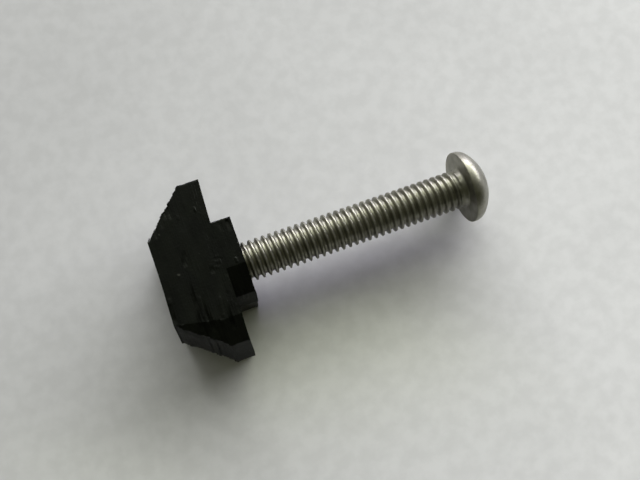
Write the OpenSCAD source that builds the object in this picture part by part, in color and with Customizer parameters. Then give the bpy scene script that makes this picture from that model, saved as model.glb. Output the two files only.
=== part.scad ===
// Quarter-turn T-slot nut with its button-head machine screw.
// The nut drops through the mouth of an 8 mm slot and locks when it is turned 90 degrees.
// X runs along the screw, from the nut to the head. The assembly lies on one flat side of
// the nut and on the rim of the head, with the origin under its middle.

/* [Nut] */
// Width across the middle of the two wings
wing_span = 17.6; // [17:0.1:24]
// Width of the wings along the nut's flat sides
wing_flat = 16.8; // [15:0.1:17]
// Depth of the nut, which has to pass the slot's mouth
nut_depth = 7.6; // [7.6:0.1:9]
// Width across the middle of the blunt base
base_width = 10.8; // [9:0.1:14]
// Width of the base along the nut's flat sides
base_flat = 8.2; // [7:0.1:9]
// Height of the base's straight sides, below the slopes
base_edge = 0.2; // [0.1:0.1:1]
// Height from the base to the top of the slopes, along the screw
slope_height = 4.2; // [2:0.1:6]
// Thickness of the wings at their ends
wing_edge = 1.9; // [1:0.1:4]
// Radius of the two wing corners that lead the quarter turn, each cut as two flats
wing_turn_radius = 3.8; // [1:0.1:5]
// How far round the cut corners their two flats meet, in degrees
turn_break = 40; // [30:1:60]

/* [Neck] */
// Width of the neck, which fills the slot's mouth
neck_width = 8; // [7:0.1:10]
// Height of the neck above the wings
neck_height = 1.9; // [1:0.1:6]
// Radius of the two neck corners that lead the quarter turn, each cut as two flats
neck_turn_radius = 3.4; // [1:0.1:3.8]

/* [Screw] */
// Thread diameter over the crests
thread_diameter = 4; // [3:0.1:4.5]
// Length of the screw under its head
screw_length = 30; // [16:1:50]
// Length of thread inside the nut
thread_engaged = 6.7; // [3:0.1:12]
// Length of the bevel at the screw's point
point_bevel = 0.5; // [0.1:0.1:1.2]
// Gap all round between the thread crests and the bore
thread_clearance = 0.05; // [0.02:0.01:0.1]

/* [Head] */
// Diameter of the head
head_diameter = 7.4; // [6.5:0.1:7.6]
// Height of the head
head_height = 2.2; // [1.8:0.1:4]
// Height of the head's straight rim
rim_height = 0.3; // [0.1:0.05:0.8]
// Radius of the rounding between the rim and the dome
rim_rounding = 1.2; // [0.3:0.1:1.2]
// Diameter of the flat round the socket
crown_flat = 3.4; // [3:0.1:4.5]
// Hexagon socket across its flats
socket_flats = 2.5; // [1.5:0.1:2.5]
// Depth of the hexagon socket
socket_depth = 1.3; // [0.8:0.1:1.5]
// Depth of the drill cone below the socket
socket_cone = 0.3; // [0.1:0.05:0.3]

/* [Hidden] */
$fn = 96;

nut_height = slope_height + wing_edge + neck_height;
neck_front = nut_height;
screw_point = neck_front - thread_engaged;
head_seat = screw_point + screw_length;
total_length = head_seat + head_height;
axis_height = nut_depth / 2;
cut_over = 1;

// Closed outline from half of its corners, which the other half repeats half a turn on
module twofold_outline(half) {
    polygon([for (side = [1, -1]) for (corner = half) side * corner]);
}

// Outline whose blunt ends come to an edge at the middle
module blunt_outline(flat, width) {
    top = nut_depth / 2;
    twofold_outline([[flat / 2, top], [-flat / 2, top], [-width / 2, 0]]);
}

// Outline whose two corners that lead a clockwise turn are cut by two flats each
module turning_outline(flat, width, radius) {
    right = width / 2;
    top = nut_depth / 2;
    break_point = radius * [1 - sin(turn_break), 1 - cos(turn_break)];
    twofold_outline([
        [flat / 2, top],
        [radius - right, top],
        [break_point.x - right, top - break_point.y],
        [-right, top - radius]
    ]);
}

// Flat outline raised along X, with its width across Y
module slab(from_x, to_x) {
    translate([from_x, 0, 0])
        rotate([90, 0, 90])
            linear_extrude(to_x - from_x)
                children();
}

// Blunt base that widens in slopes to the cut corners of the wings
module wings() {
    hull() {
        slab(0, base_edge)
            blunt_outline(base_flat, base_width);
        slab(slope_height, slope_height + wing_edge)
            turning_outline(wing_flat, wing_span, wing_turn_radius);
    }
}

module neck() {
    slab(slope_height, nut_height)
        turning_outline(neck_width, neck_width, neck_turn_radius);
}

// Shaft along X
module x_cylinder(from_x, to_x, radius) {
    translate([from_x, 0, 0])
        rotate([0, 90, 0])
            cylinder(h = to_x - from_x, r = radius);
}

module nut_body() {
    difference() {
        union() {
            wings();
            neck();
        }
        x_cylinder(-cut_over, nut_height + cut_over, thread_diameter / 2 + thread_clearance);
    }
}

// Bevelled point and plain shank at the thread's crest diameter
module shank() {
    point_radius = thread_diameter / 2 - point_bevel;
    cylinder(h = point_bevel, r1 = point_radius, r2 = thread_diameter / 2);
    translate([0, 0, point_bevel])
        cylinder(h = screw_length - point_bevel, r = thread_diameter / 2);
}

// Disc with a straight rim, rounded above it
module rim_disc(height) {
    rotate_extrude()
        difference() {
            square([head_diameter / 2, height]);
            translate([head_diameter / 2 - rim_rounding, rim_height])
                difference() {
                    square(rim_rounding + cut_over);
                    circle(rim_rounding);
                }
        }
}

// Rounded rim that runs into a low dome with a flat crown
module head_dome() {
    turn_radius = head_diameter / 2 - rim_rounding * (1 - cos(45));
    turn_height = rim_height + rim_rounding * sin(45);
    crown_radius = crown_flat / 2;
    rise = head_height - turn_height;
    centre_drop = (turn_radius * turn_radius - crown_radius * crown_radius - rise * rise) / (2 * rise);
    rim_disc(turn_height);
    translate([0, 0, turn_height])
        intersection() {
            cylinder(h = rise, r = head_diameter / 2);
            translate([0, 0, -centre_drop])
                sphere(norm([turn_radius, centre_drop]));
        }
}

module socket() {
    hex_radius = socket_flats / 2 / cos(30);
    translate([0, 0, head_height - socket_depth])
        cylinder(h = socket_depth + cut_over, r = hex_radius, $fn = 6);
    translate([0, 0, head_height - socket_depth - socket_cone])
        cylinder(h = socket_cone, r1 = 0, r2 = socket_flats / 2);
}

module screw_body() {
    rotate([0, 90, 0])
        difference() {
            union() {
                shank();
                translate([0, 0, screw_length])
                    head_dome();
            }
            translate([0, 0, screw_length])
                socket();
        }
}

module t_nut() {
    color([0.09, 0.1, 0.08])
        translate([-total_length / 2, 0, axis_height])
            nut_body();
}

module button_head_screw() {
    color([0.62, 0.61, 0.59])
        translate([screw_point - total_length / 2, 0, axis_height])
            screw_body();
}

t_nut();
button_head_screw();
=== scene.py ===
"""A printed quarter-turn T-slot nut on a stainless button-head screw, lying on a pale floor."""
import math
import random
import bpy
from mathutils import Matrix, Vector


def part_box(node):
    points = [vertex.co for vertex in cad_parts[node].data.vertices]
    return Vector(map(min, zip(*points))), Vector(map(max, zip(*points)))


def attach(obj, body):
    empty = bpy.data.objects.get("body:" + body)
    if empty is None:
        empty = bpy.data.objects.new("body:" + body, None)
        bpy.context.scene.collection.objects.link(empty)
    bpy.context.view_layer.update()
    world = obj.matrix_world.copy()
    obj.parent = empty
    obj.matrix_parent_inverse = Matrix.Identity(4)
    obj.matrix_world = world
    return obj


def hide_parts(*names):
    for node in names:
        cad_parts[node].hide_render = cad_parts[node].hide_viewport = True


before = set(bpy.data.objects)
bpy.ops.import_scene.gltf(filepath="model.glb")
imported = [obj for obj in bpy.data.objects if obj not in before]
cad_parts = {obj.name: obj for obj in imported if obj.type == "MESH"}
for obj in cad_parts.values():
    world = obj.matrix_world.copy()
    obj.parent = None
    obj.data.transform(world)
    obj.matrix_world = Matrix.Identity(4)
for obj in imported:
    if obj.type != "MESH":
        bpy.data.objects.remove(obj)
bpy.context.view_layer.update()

import bpy
from mathutils import Matrix, Vector, noise

MM = 0.001

# Camera, in the row frame
CAMERA_PLACE = Vector((-12.17, -14.1, 81.19)) * MM
CAMERA_AIM = Vector((-0.96, -0.31, 3.8)) * MM
PICTURE_UP_DEG = 69.65
LENS_MM = 45.0
SENSOR_MM = 36.0
CLIP_START = 2 * MM

# Nut, as in the part's source. Heights count along the screw, from the nut's base.
NUT_LOW, NUT_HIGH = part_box("t_nut")
NUT_HEIGHT = NUT_HIGH.x - NUT_LOW.x
WING_HALF = (NUT_HIGH.y - NUT_LOW.y) / 2
HALF_DEPTH = (NUT_HIGH.z - NUT_LOW.z) / 2
AXIS_Z = (NUT_HIGH.z + NUT_LOW.z) / 2
WING_FLAT_HALF = 8.4 * MM
BASE_HALF = 5.4 * MM
BASE_FLAT_HALF = 4.1 * MM
NECK_HALF = 4.0 * MM
BASE_EDGE = 0.2 * MM
SLOPE_HEIGHT = 4.2 * MM
WING_EDGE = 1.9 * MM
SHOULDER_HEIGHT = SLOPE_HEIGHT + WING_EDGE
WING_TURN = 3.8 * MM
NECK_TURN = 3.4 * MM
WING_BREAK = math.radians(40)
BORE_RADIUS = 2.05 * MM

# Where the printed nut strays from the source, as the photograph shows it
NECK_BREAK = math.radians(52)
SLOPE_BULGE = 0.022
TIP_CURL = 0.3 * MM
FOOT_WARP = 0.15 * MM
FOOT_HEIGHT = 1.5 * MM
FOOT_SPAN = (-1.0 * MM, 5.0 * MM)
LIP_WAVE = 0.09 * MM
LIP_SPAN = (5.0 * MM, 6.0 * MM)
LIP_GRAIN = (0.0, 0.9, 0.6)

# Printed layers. The bead pairs a share of the layer's height with a share of the seam's depth.
LAYER = 0.2 * MM
BEAD = [(0.0, 1.0), (0.2, 0.25), (0.5, 0.0), (0.8, 0.25), (1.0, 1.0)]
BEAD_SEAM = 0.0035 * MM
BEAD_LEAN = 0.7
SLIP_Y = 0.03 * MM
SLOPE_SLIP_Y = 0.12 * MM
SLIP_Z = 0.012 * MM
SWELL = 0.04 * MM
EDGE_ROUND = 0.13 * MM

# Uneven flow: how deep, and how often it changes per millimetre along Y, Z and the screw
WOBBLE = 0.02 * MM
WOBBLE_GRAIN = (0.6, 0.6, 2.6)
WAVE = 0.06 * MM
WAVE_GRAIN = (0.25, 0.3, 0.5)
SLOPE_RAGGED = 0.2 * MM
RAGGED_GRAIN = (0.0, 0.4, 0.95)
SLOPE_START = (0.3 * MM, 1.0 * MM)
SLOPE_END = (4.0 * MM, 4.6 * MM)

# Points of a layer's outline: on the four sides that follow the corners of one half, and at
# each corner, whose arc takes no more than a share of a side
SIDE_POINTS = (112, 14, 14, 18)
CORNER_POINTS = 5
ARC_SHARE = 0.45

# Screw, as in the part's source
SCREW_LOW, SCREW_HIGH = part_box("button_head_screw")
CREST = 2.0 * MM
SHANK_LENGTH = 30.0 * MM
HEAD_SEAT_X = SCREW_LOW.x + SHANK_LENGTH
HEAD_RADIUS = (SCREW_HIGH.y - SCREW_LOW.y) / 2
HEAD_HEIGHT = SCREW_HIGH.x - HEAD_SEAT_X
RIM_HEIGHT = 0.3 * MM
RIM_ROUNDING = 1.2 * MM
CROWN_RADIUS = 1.7 * MM
SOCKET_APOTHEM = 1.25 * MM
SOCKET_DEPTH = 1.3 * MM
SOCKET_CONE = 0.3 * MM
POINT_BEVEL = 0.5 * MM

# Thread and roundings, which the source leaves to this script
PITCH = 0.7 * MM
THREAD_DEPTH = 0.36 * MM
THREAD_FADE = 1.3 * MM
CREST_HALF = 0.09
ROOT_HALF = 0.14
UNDERCUT = 0.1 * MM
UNDERCUT_LUMP = 0.12 * MM
BORE_THREAD_DEPTH = 0.3 * MM
BORE_THREAD_END = SCREW_LOW.x - 0.1 * MM
SEAT_FILLET = 0.2 * MM
SEAT_EDGE_ROUND = 0.12 * MM
STEPS_PER_PITCH = 16
AROUND = 72
ANGLES_AROUND = [math.tau * k / AROUND for k in range(AROUND)]

# Lengths and turns that count as none
TINY_LENGTH = 1e-7
TINY_TURN = 1e-3


def lerp(a, b, share):
    return a + (b - a) * share


def clamp(value):
    return min(1.0, max(0.0, value))


def smooth_step(value, low, high):
    share = clamp((value - low) / (high - low))
    return share * share * (3 - 2 * share)


def grained_noise(place, grain, shift=(0, 0, 0)):
    """Noise at a place in millimetres, with its grain for each axis."""
    return noise.noise(Vector([p * g + s for p, g, s in zip(place, grain, shift)]))


def ring_at(x, radii, angles=ANGLES_AROUND):
    """Points round the screw's axis at x, with a radius for each angle."""
    return [(x, r * math.cos(a), AXIS_Z + r * math.sin(a)) for r, a in zip(radii, angles)]


def round_ring(x, radius):
    return ring_at(x, [radius] * AROUND)


def stitch(rings, closed):
    """Quads between rings of equal length; closed joins the last ring to the first."""
    count = len(rings[0])
    points = [point for ring in rings for point in ring]
    faces = []
    for r in range(len(rings) if closed else len(rings) - 1):
        low, high = r * count, (r + 1) % len(rings) * count
        for i in range(count):
            j = (i + 1) % count
            faces.append((low + i, low + j, high + j, high + i))
    return points, faces


def mesh_object(name, points, faces, material, sharp_deg):
    """A smooth-shaded mesh whose creases over sharp_deg stay sharp."""
    mesh = bpy.data.meshes.new(name)
    mesh.from_pydata(points, [], faces)
    mesh.validate()
    mesh.polygons.foreach_set("use_smooth", [True] * len(mesh.polygons))
    mesh.set_sharp_from_angle(angle=math.radians(sharp_deg))
    mesh.materials.append(material)
    piece = bpy.data.objects.new(name, mesh)
    bpy.context.scene.collection.objects.link(piece)
    return piece


def thread_ridge(x, angle):
    """Height of the thread, 0 at the root and 1 on the crest, at this place and angle."""
    share = (x / PITCH - angle / math.tau) % 1.0
    from_crest = min(share, 1 - share)
    level = clamp(1 - (from_crest - CREST_HALF) / (0.5 - CREST_HALF - ROOT_HALF))
    return lerp(level, smooth_step(level, 0.0, 1.0), 0.8)


# --- Outline of the nut's layers -------------------------------------------------------------


def layer_corners(height):
    """The eight corners, as (y, z) about the screw's axis, of the layer at this height.

    Each leading corner is two flats, which run together to one corner of the blunt base.
    """
    if height > SHOULDER_HEIGHT:
        flat, right, turn, turn_break, share = NECK_HALF, NECK_HALF, NECK_TURN, NECK_BREAK, 1.0
    else:
        flat, right, turn, turn_break = WING_FLAT_HALF, WING_HALF, WING_TURN, WING_BREAK
        share = clamp((height - BASE_EDGE) / (SLOPE_HEIGHT - BASE_EDGE))
        share += SLOPE_BULGE * (math.sin(math.pi * share) + math.sin(math.tau * share))
    top = HALF_DEPTH
    break_y, break_z = turn * (1 - math.sin(turn_break)), turn * (1 - math.cos(turn_break))
    full = [
        (flat, top),
        (turn - right, top),
        (break_y - right, top - break_z),
        (-right, top - turn),
    ]
    blunt = [
        (BASE_FLAT_HALF, top),
        (-BASE_FLAT_HALF, top),
        (-BASE_FLAT_HALF, top),
        (-BASE_HALF, 0.0),
    ]
    half = [(lerp(b[0], f[0], share), lerp(b[1], f[1], share)) for b, f in zip(blunt, full)]
    return half + [(-y, -z) for y, z in half]


def corner_arc(corner, before, after):
    """Start, outward normal there, turn and radius of a softened corner; None if corners meet."""
    back, ahead = before - corner, after - corner
    room = ARC_SHARE * min(back.length, ahead.length)
    turn = math.atan2(-back.x * ahead.y + back.y * ahead.x, -back.dot(ahead))
    if room < TINY_LENGTH or turn < TINY_TURN:
        return None
    reach = min(room, EDGE_ROUND * math.tan(turn / 2))
    way_in = -back.normalized()
    start = corner - way_in * reach
    return start, Vector((way_in.y, -way_in.x)), turn, reach / math.tan(turn / 2)


def outline(corners):
    """Points round a layer, with softened corners, and the unit normal that points out at each."""
    count = len(corners)
    corners = [Vector(corner) for corner in corners]
    arcs = [corner_arc(corners[i], corners[i - 1], corners[(i + 1) % count]) for i in range(count)]
    points, normals = [], []
    for i in range(count):
        if arcs[i]:
            start, out, turn, radius = arcs[i]
            centre = start - out * radius
            for k in range(CORNER_POINTS):
                normal = Matrix.Rotation(turn * k / (CORNER_POINTS - 1), 2) @ out
                points.append(centre + normal * radius)
                normals.append(normal)
        else:
            slanting = Vector((-1, 1) if i < count / 2 else (1, -1)).normalized()
            points += [corners[i]] * CORNER_POINTS
            normals += [slanting] * CORNER_POINTS
        start = points[-1]
        following = (i + 1) % count
        end = arcs[following][0] if arcs[following] else corners[following]
        span = end - start
        out = normals[-1]
        if span.length > TINY_LENGTH:
            out = Vector((span.y, -span.x)).normalized()
        side = SIDE_POINTS[i % len(SIDE_POINTS)]
        for k in range(1, side + 1):
            points.append(start + span * (k / (side + 1)))
            normals.append(out)
    return points, normals


# --- Marks on the nut ------------------------------------------------------------------------

# Both lists hold the main marks of the side that faces up, in millimetres, where the
# photograph shows them. A way is a line of (height, y) points.
# Starved stretches: depth, how late along the way it is deepest (1 is midway), and the way
STARVED = [
    (0.2, 1.6, [(2.5, -0.4), (2.5, -1.6), (2.42, -2.6), (2.35, -3.5), (2.2, -5.4)]),
    (0.2, 1.8, [(3.2, -2.2), (3.12, -3.3), (3.1, -4.1), (3.2, -5.8)]),
    (0.12, 1.0, [(0.1, -2.0), (0.15, -3.0), (0.3, -4.6)]),
    (0.2, 1.6, [(5.1, -3.8), (5.0, -6.2)]),
    (0.08, 1.0, [(2.9, 2.3), (2.5, 0.7)]),
    (0.06, 1.0, [(4.8, 0.0), (4.8, -0.7)]),
    (0.1, 0.5, [(6.7, 4.0), (6.75, 2.8)]),
    (0.1, 0.5, [(7.6, 3.8), (7.65, 2.6)]),
    (0.2, 0.5, [(2.7, 7.4), (2.7, 5.5)]),
    (0.14, 0.5, [(2.3, 6.9), (2.3, 5.6)]),
    (0.18, 0.5, [(1.7, 6.6), (1.7, 4.8)]),
    (0.15, 0.5, [(0.9, 5.8), (0.9, 4.1)]),
]
STARVED_FADE = (0.08, 0.26)
STARVED_REACH = 0.6
# Blobs and strings: height, half width, and the way
PROUD = [
    (0.035, 0.2, [(2.9, -2.4), (2.7, -4.2)]),
    (0.035, 0.22, [(4.6, -3.0), (4.4, -4.7)]),
    (0.04, 0.28, [(0.25, -1.7), (0.25, -2.0)]),
    (0.03, 0.24, [(5.8, -1.4), (5.5, -2.6)]),
    (0.03, 0.12, [(5.4, 0.8), (5.85, 0.7)]),
    (0.03, 0.12, [(5.25, 0.35), (5.7, 0.25)]),
    (0.03, 0.12, [(5.1, -0.15), (5.5, -0.25)]),
    (0.06, 0.18, [(7.2, 0.0), (7.2, -0.3)]),
    (0.06, 0.14, [(5.1, 5.8), (5.1, 5.55)]),
    (0.025, 0.2, [(3.4, 5.5), (3.4, 5.3)]),
]
PROUD_REACH = 1.0


def near_way(point, way):
    """Distance from a point to a way, and the share of the way's span in y that lies behind it."""
    nearest = math.inf
    for start, end in zip(way, way[1:]):
        start, along = Vector(start), Vector(end) - Vector(start)
        share = clamp((point - start).dot(along) / along.length_squared)
        nearest = min(nearest, (point - start - along * share).length)
    return nearest, (way[0][1] - point.y) / (way[0][1] - way[-1][1])


def starved_depth(middle, y):
    """How far the layer with this middle is sunk on the side that faces up."""
    point = Vector((middle / MM, y / MM))
    depth = 0.0
    for amount, lateness, way in STARVED:
        if abs(point.x - way[0][0]) > STARVED_REACH:
            continue
        far, share = near_way(point, way)
        if 0 < share < 1:
            uneven = 0.9 + 0.5 * grained_noise((way[0][0], point.y, 5.0), (1.0, 0.8, 1.0))
            profile = math.sin(math.pi * share**lateness)
            beside = 1 - smooth_step(far, *STARVED_FADE)
            depth = max(depth, amount * MM * uneven * profile * beside)
    return depth


def proud_height(height, y):
    """How far blobs stand out of the side that faces up at this point."""
    point = Vector((height / MM, y / MM))
    raised = 0.0
    for amount, half_width, way in PROUD:
        if abs(point.x - way[0][0]) < PROUD_REACH:
            far, _ = near_way(point, way)
            raised += amount * MM * (1 - smooth_step(far / half_width, 0.1, 1.0))
    return raised


# --- Nut -------------------------------------------------------------------------------------


def unevenness(place, on_slope, across):
    """How far a layer is sunk by uneven flow and by its ragged end on a slope.

    The place is (y, z, height) in millimetres, and across is how far the surface faces along Y.
    """
    wobble = grained_noise(place, WOBBLE_GRAIN)
    wave = grained_noise(place, WAVE_GRAIN, (0, 0, 9))
    ragged = grained_noise(place, RAGGED_GRAIN, (3.7, 0, 20 if place.x < 0 else 0))
    return WOBBLE * abs(wobble) + WAVE * abs(wave) + SLOPE_RAGGED * on_slope * ragged * across


def shift_along(place, y, height):
    """How far a point moves along the screw: curled wing tip, warped foot and wavy upper edges."""
    tip = max(0.0, (y - NECK_HALF) / (WING_HALF - NECK_HALF))
    curl = TIP_CURL * tip**1.5 * smooth_step(height, SLOPE_HEIGHT, SHOULDER_HEIGHT)
    foot = smooth_step(-y, *FOOT_SPAN) * (1 - smooth_step(height, 0.0, FOOT_HEIGHT))
    lip = grained_noise(place, LIP_GRAIN, (31, 0, 0)) * smooth_step(height, *LIP_SPAN)
    return curl - FOOT_WARP * foot + LIP_WAVE * lip


def nut_rings():
    """The nut's outer rings from the base to the neck's front, each a list of (x, y, z)."""
    rng = random.Random(11)
    layers = round(NUT_HEIGHT / LAYER)
    step = NUT_HEIGHT / layers
    rings = []
    for index in range(layers):
        middle = (index + 0.5) * step
        on_slope = smooth_step(middle, *SLOPE_START) * (1 - smooth_step(middle, *SLOPE_END))
        seam_depth = BEAD_SEAM * (0.4 + 1.2 * rng.random())
        slip_y = (SLIP_Y + SLOPE_SLIP_Y * on_slope) * (rng.random() - 0.5)
        slip_z = SLIP_Z * rng.random()
        for share, seam in BEAD:
            height = (index + share) * step
            leaning = middle if middle > SLOPE_HEIGHT else lerp(middle, height, BEAD_LEAN)
            ring = []
            for (y, z), (ny, nz) in zip(*outline(layer_corners(leaning))):
                place = Vector((y, z, middle)) / MM
                inset = seam_depth * seam + slip_y * abs(ny) + slip_z * abs(nz) - SWELL
                inset += unevenness(place, on_slope, abs(ny))
                if z > 0:
                    inset += starved_depth(middle, y) - proud_height(height, y)
                x = NUT_LOW.x + height + shift_along(place, y, height)
                ring.append((x, y - ny * inset, AXIS_Z + z - nz * inset))
            rings.append(ring)
    return rings


def bore_radius(x, angle):
    """Radius of the bore, threaded between the screw's point and the nut's base."""
    run_in = smooth_step(BORE_THREAD_END - x, 0.0, 0.15 * MM)
    run_out = smooth_step(x - NUT_LOW.x, 0.0, 0.25 * MM)
    return BORE_RADIUS - BORE_THREAD_DEPTH * run_in * run_out * (1 - thread_ridge(x, angle))


def bore_rings(angles):
    """The bore's rings from the neck's front back to the base."""
    count = math.ceil((BORE_THREAD_END - NUT_LOW.x) / PITCH * STEPS_PER_PITCH)
    places = [NUT_HIGH.x, lerp(NUT_HIGH.x, BORE_THREAD_END, 0.5)]
    places += [lerp(BORE_THREAD_END, NUT_LOW.x, i / count) for i in range(count + 1)]
    return [ring_at(x, [bore_radius(x, angle) for angle in angles], angles) for x in places]


def build_nut(material):
    rings = nut_rings()
    angles = [math.atan2(z - AXIS_Z, y) for _, y, z in rings[-1]]
    points, faces = stitch(rings + bore_rings(angles), closed=True)
    piece = mesh_object("printed_nut", points, faces, material, sharp_deg=50)
    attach(piece, "nut")
    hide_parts("t_nut")


# --- Screw -----------------------------------------------------------------------------------


def shank_radius(x, angle):
    """Radius of the shank, with the thread fading into a lumpy undercut below the head."""
    to_seat = HEAD_SEAT_X - x
    cut = smooth_step(to_seat, 0.0, THREAD_FADE)
    radius = CREST - THREAD_DEPTH * cut * (1 - thread_ridge(x, angle))
    lump = grained_noise((x / MM, math.cos(angle), math.sin(angle)), (2.5, 4, 4))
    under_head = (1 - cut) * smooth_step(to_seat, SEAT_FILLET, SEAT_FILLET + 0.3 * MM)
    radius -= (UNDERCUT + UNDERCUT_LUMP * lump) * under_head
    return min(radius, CREST - POINT_BEVEL + x - SCREW_LOW.x)


def shank_rings():
    end = HEAD_SEAT_X - SEAT_FILLET
    count = round((end - SCREW_LOW.x) / PITCH * STEPS_PER_PITCH)
    places = [lerp(SCREW_LOW.x, end, i / count) for i in range(count + 1)]
    return [ring_at(x, [shank_radius(x, angle) for angle in ANGLES_AROUND]) for x in places]


def sweep(start, end, steps, first=0):
    """Angles in equal steps from start to end, from step number first on."""
    return [lerp(start, end, i / steps) for i in range(first, steps + 1)]


def head_profile():
    """(x from the seat, radius) from the fillet under the head to the edge of the crown."""
    profile = []
    for a in sweep(0.0, math.pi / 2, 6, first=1):
        profile.append((SEAT_FILLET * (math.sin(a) - 1), CREST + SEAT_FILLET * (1 - math.cos(a))))
    profile.append((0.0, lerp(CREST, HEAD_RADIUS, 0.6)))
    for a in sweep(-math.pi / 2, 0.0, 6):
        out = HEAD_RADIUS - SEAT_EDGE_ROUND * (1 - math.cos(a))
        profile.append((SEAT_EDGE_ROUND * (1 + math.sin(a)), out))
    for a in sweep(0.0, math.pi / 4, 12):
        out = HEAD_RADIUS - RIM_ROUNDING * (1 - math.cos(a))
        profile.append((RIM_HEIGHT + RIM_ROUNDING * math.sin(a), out))
    turn_x, turn_radius = profile[-1]
    rise = HEAD_HEIGHT - turn_x
    drop = (turn_radius**2 - CROWN_RADIUS**2 - rise**2) / (2 * rise)
    dome = math.hypot(turn_radius, drop)
    for a in sweep(math.asin(drop / dome), math.acos(CROWN_RADIUS / dome), 18, first=1):
        profile.append((turn_x - drop + dome * math.sin(a), dome * math.cos(a)))
    return profile


def hex_ring(x, apothem, roundness):
    """A hexagon at x, blended with a circle by roundness."""
    radii = []
    for angle in ANGLES_AROUND:
        side = (angle + math.radians(15)) % math.radians(60) - math.radians(30)
        radii.append(lerp(apothem / math.cos(side), apothem * 1.08, roundness))
    return ring_at(x, radii)


def head_rings():
    """The head's rings from its seat over the dome and down to the socket's floor."""
    rings = [round_ring(HEAD_SEAT_X + x, radius) for x, radius in head_profile()]
    top = SCREW_HIGH.x
    floor = top - SOCKET_DEPTH
    rings.append(hex_ring(top, SOCKET_APOTHEM + 0.1 * MM, 0.5))
    rings.append(hex_ring(top - 0.03 * MM, SOCKET_APOTHEM + 0.03 * MM, 0.2))
    rings.append(hex_ring(top - 0.1 * MM, SOCKET_APOTHEM, 0.0))
    rings.append(hex_ring(floor, SOCKET_APOTHEM, 0.0))
    rings.append(round_ring(floor - 0.02 * MM, SOCKET_APOTHEM * 0.9))
    rings.append(round_ring(floor - SOCKET_CONE, SOCKET_APOTHEM * 0.1))
    return rings


def build_screw(material):
    rings = shank_rings() + head_rings()
    points, faces = stitch(rings, closed=False)
    last = len(points) - AROUND
    point_centre, cone_centre = len(points), len(points) + 1
    points += [(ring[0][0], 0.0, AXIS_Z) for ring in (rings[0], rings[-1])]
    for i in range(AROUND):
        j = (i + 1) % AROUND
        faces.append((j, i, point_centre))
        faces.append((last + i, last + j, cone_centre))
    piece = mesh_object("threaded_screw", points, faces, material, sharp_deg=42)
    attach(piece, "screw")
    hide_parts("button_head_screw")


# --- Materials -------------------------------------------------------------------------------


class Nodes:
    """Short calls for building the node tree of a material or a world."""

    def __init__(self, owner, shader_name, coordinates):
        owner.use_nodes = True
        self.tree = owner.node_tree
        self.shader = self.tree.nodes[shader_name]
        self.place = self.add("ShaderNodeTexCoord").outputs[coordinates]

    def add(self, kind, **settings):
        node = self.tree.nodes.new(kind)
        for key, value in settings.items():
            setattr(node, key, value)
        return node

    def link(self, source, target):
        self.tree.links.new(source, target)

    def feed(self, value, target):
        """Link a node's output to a socket, or set the socket to a number or an RGB triple."""
        if isinstance(value, bpy.types.NodeSocket):
            self.link(value, target)
        else:
            target.default_value = (*value, 1.0) if isinstance(value, tuple) else value

    def noise(self, scale, detail, stretch=(1, 1, 1), seed=0.0):
        mapping = self.add("ShaderNodeMapping")
        mapping.inputs["Scale"].default_value = stretch
        mapping.inputs["Location"].default_value = (seed, seed, seed)
        self.link(self.place, mapping.inputs["Vector"])
        texture = self.add("ShaderNodeTexNoise")
        texture.inputs["Scale"].default_value = scale
        texture.inputs["Detail"].default_value = detail
        self.link(mapping.outputs["Vector"], texture.inputs["Vector"])
        return texture.outputs["Fac"]

    def split(self, source):
        node = self.add("ShaderNodeSeparateXYZ")
        self.link(source, node.inputs[0])
        return node.outputs

    def span(self, source, low, high):
        """Where a value lies between low, which is 0, and high, which is 1."""
        node = self.add("ShaderNodeMapRange")
        node.inputs["From Min"].default_value = low
        node.inputs["From Max"].default_value = high
        self.link(source, node.inputs["Value"])
        return node.outputs[0]

    def ramp(self, source, stops):
        """Colour ramp from (place, colour) stops, where a colour is a grey or an RGB triple."""
        node = self.add("ShaderNodeValToRGB")
        elements = node.color_ramp.elements
        while len(elements) < len(stops):
            elements.new(0.5)
        for element, (place, colour) in zip(elements, stops):
            element.position = place
            rgb = colour if isinstance(colour, tuple) else (colour, colour, colour)
            element.color = (*rgb, 1.0)
        self.link(source, node.inputs["Fac"])
        return node.outputs["Color"]

    def mix(self, share, first, second, blend="MIX"):
        """Two colours mixed. The node's factor is input 0 and its colours are inputs 6 and 7."""
        node = self.add("ShaderNodeMix", data_type="RGBA", blend_type=blend)
        for value, index in ((share, 0), (first, 6), (second, 7)):
            self.feed(value, node.inputs[index])
        return node.outputs[2]

    def times(self, first, second):
        return self.mix(1.0, first, second, blend="MULTIPLY")

    def math(self, operation, *values):
        node = self.add("ShaderNodeMath", operation=operation)
        for value, target in zip(values, node.inputs):
            self.feed(value, target)
        return node.outputs[0]

    def bump(self, height, distance, under=None):
        node = self.add("ShaderNodeBump")
        node.inputs["Distance"].default_value = distance
        node.inputs["Strength"].default_value = 0.5
        self.link(height, node.inputs["Height"])
        if under is not None:
            self.link(under, node.inputs["Normal"])
        return node.outputs["Normal"]


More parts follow.
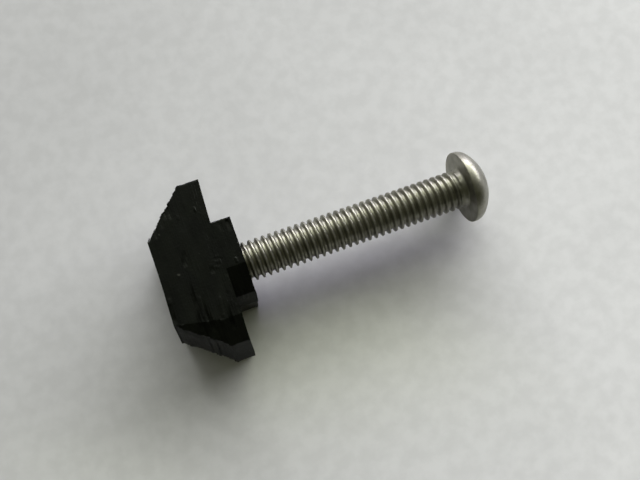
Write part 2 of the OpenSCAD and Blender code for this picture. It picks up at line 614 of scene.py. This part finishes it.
def plastic_material():
    """Matte black printed plastic, streaked along its layers, with a few pale specks."""
    material = bpy.data.materials.new("printed_plastic")
    n = Nodes(material, "Principled BSDF", "Object")
    streaks = n.noise(900, 4, stretch=(1, 0.12, 1))
    patches = n.noise(650, 3, stretch=(1, 0.6, 1), seed=3.0)
    colour = n.ramp(streaks, [(0.3, (0.0015, 0.0018, 0.0014)), (0.7, (0.004, 0.0046, 0.0037))])
    colour = n.mix(n.ramp(patches, [(0.4, 0.0), (0.65, 0.75)]), colour, (0.0074, 0.0084, 0.0066))
    specks = n.ramp(n.noise(2100, 1, seed=8.0), [(0.76, 0.0), (0.8, 1.0)])
    colour = n.mix(specks, colour, (0.03, 0.031, 0.027))
    n.link(colour, n.shader.inputs["Base Color"])
    n.link(n.ramp(patches, [(0.35, 0.46), (0.65, 0.34)]), n.shader.inputs["Roughness"])
    n.shader.inputs["Specular IOR Level"].default_value = 0.12
    n.shader.inputs["Specular Tint"].default_value = (0.96, 1.0, 0.95, 1.0)
    grain = n.bump(n.noise(6000, 3), 0.04 * MM)
    n.link(n.bump(streaks, 0.05 * MM, under=grain), n.shader.inputs["Normal"])
    return material


def film_and_shade_share(n):
    """How far a dull film, whose dark colour is painted shade, covers the screw: in the thread and
    by the head's seat.
    """
    place = n.split(n.place)
    across = n.add("ShaderNodeCombineXYZ")
    n.link(place["Y"], across.inputs["X"])
    n.link(n.math("SUBTRACT", place["Z"], AXIS_Z), across.inputs["Y"])
    reach = n.add("ShaderNodeVectorMath", operation="LENGTH")
    n.link(across.outputs[0], reach.inputs[0])
    level = n.span(reach.outputs["Value"], CREST - THREAD_DEPTH, CREST)
    # Painted shade with a duller finish: full in the thread's roots and up the flanks, less on the
    # crests.
    thread_film_and_shade = n.ramp(level, [(0.0, 1.0), (0.8, 0.95), (0.99, 0.7)])
    from_seat = n.math("ABSOLUTE", n.math("SUBTRACT", place["X"], HEAD_SEAT_X))
    # Painted shade with a duller finish under the head: full at the seat, gone about 1.2 mm from
    # it.
    seat_film_and_shade = n.math("SUBTRACT", 1.05, n.math("DIVIDE", from_seat, 1.2 * MM))
    return n.math("MAXIMUM", thread_film_and_shade, seat_film_and_shade)


def steel_material():
    """Stainless steel, scuffed and pitted where no film covers it; the film's dark colour is
    painted shade in the thread and by the head's seat.
    """
    material = bpy.data.materials.new("stainless_steel")
    n = Nodes(material, "Principled BSDF", "Object")
    film_and_shade = film_and_shade_share(n)
    scuffs = n.noise(1100, 5)
    clean = n.ramp(scuffs, [(0.35, (0.34, 0.332, 0.31)), (0.62, (0.49, 0.482, 0.45))])
    clean = n.times(clean, n.ramp(n.noise(3200, 2, seed=6.0), [(0.36, 0.7), (0.44, 1.0)]))
    stains = n.noise(900, 4, seed=4.0)
    # The film's dark colour is painted shade; the noise varies its tone at random.
    stained_shade = n.ramp(stains, [(0.35, (0.19, 0.185, 0.15)), (0.65, (0.28, 0.274, 0.228))])
    n.link(n.mix(film_and_shade, clean, stained_shade), n.shader.inputs["Base Color"])
    n.shader.inputs["Metallic"].default_value = 1.0
    polished = n.ramp(scuffs, [(0.35, 0.4), (0.62, 0.27)])
    n.link(n.mix(film_and_shade, polished, (0.48, 0.48, 0.48)), n.shader.inputs["Roughness"])
    turning_marks = n.noise(9000, 2, stretch=(1, 0.05, 0.05), seed=2.0)
    n.link(n.bump(turning_marks, 0.01 * MM), n.shader.inputs["Normal"])
    return material


def paper_material():
    """Matte paper, mottled, with painted light that makes it paler towards the side of the screw's
    head.
    """
    painted_light_way = (0.79, -0.61, 0.0)
    half_span = 35 * MM
    material = bpy.data.materials.new("pale_floor")
    n = Nodes(material, "Principled BSDF", "Object")
    along = n.add("ShaderNodeVectorMath", operation="DOT_PRODUCT")
    along.inputs[1].default_value = painted_light_way
    n.link(n.place, along.inputs[0])
    share = n.span(along.outputs["Value"], -half_span, half_span)
    # Painted light: the paper's colour brightens along this way, as a pool of light would.
    paper_and_painted_light = n.ramp(share, [(0.0, (0.625, 0.625, 0.665)), (1.0, (0.85, 0.85, 0.905))])
    broad = n.ramp(n.noise(60, 4), [(0.35, 0.95), (0.65, 1.0)])
    fine = n.ramp(n.noise(620, 6, seed=5.0), [(0.38, 0.935), (0.62, 1.0)])
    n.link(n.times(paper_and_painted_light, n.times(broad, fine)), n.shader.inputs["Base Color"])
    n.shader.inputs["Roughness"].default_value = 0.9
    n.shader.inputs["Specular IOR Level"].default_value = 0.2
    return material


# --- Stage -----------------------------------------------------------------------------------


def build_floor():
    half = 4.0
    corners = [(-half, -half, 0.0), (half, -half, 0.0), (half, half, 0.0), (-half, half, 0.0)]
    floor = mesh_object("floor", corners, [(0, 1, 2, 3)], paper_material(), sharp_deg=30)


def build_camera():
    """A camera that looks down at the part, with PICTURE_UP_DEG as the way up in the picture."""
    forward = (CAMERA_AIM - CAMERA_PLACE).normalized()
    turn = math.radians(PICTURE_UP_DEG)
    hint = Vector((math.cos(turn), math.sin(turn), 0.0))
    up = (hint - forward * hint.dot(forward)).normalized()
    axes = Matrix((forward.cross(up), up, -forward)).transposed()
    data = bpy.data.cameras.new("camera")
    data.sensor_width = SENSOR_MM
    data.lens = LENS_MM
    data.clip_start = CLIP_START
    camera = bpy.data.objects.new("camera", data)
    camera.matrix_world = Matrix.Translation(CAMERA_PLACE) @ axes.to_4x4()
    bpy.context.scene.collection.objects.link(camera)
    bpy.context.scene.camera = camera


def area_light(name, place, width, height, watts, colour):
    """A rectangular lamp, with its width level, that shines at the origin."""
    data = bpy.data.lights.new(name, "AREA")
    data.color = colour
    data.shape = "RECTANGLE"
    data.size = width
    data.size_y = height
    data.energy = watts
    lamp = bpy.data.objects.new(name, data)
    lamp.location = place
    lamp.rotation_euler = (-Vector(place)).to_track_quat("-Z", "Y").to_euler()
    bpy.context.scene.collection.objects.link(lamp)


def build_lights():
    """A window in two strips, a patch of sky above it, and a room that darkens away from it."""
    area_light("window_low", (0.436, 0.622, 0.247), 1.7, 0.14, 8.2, (0.8, 0.74, 1.0))
    area_light("window_high", (0.402, 0.573, 0.38), 1.7, 0.14, 7.5, (0.95, 1.0, 0.76))
    area_light("skylight", (0.15, 0.52, 0.62), 0.9, 0.34, 1.0, (0.95, 1.0, 0.7))
    world = bpy.data.worlds.new("studio")
    n = Nodes(world, "Background", "Generated")
    room = n.ramp(n.split(n.place)["Y"], [(0.25, (0.09, 0.092, 0.058)), (0.85, 0.8)])
    n.link(room, n.shader.inputs["Color"])
    bpy.context.scene.world = world


build_camera()
build_floor()
build_lights()
build_nut(plastic_material())
build_screw(steel_material())
bpy.context.scene.view_settings.view_transform = "Standard"
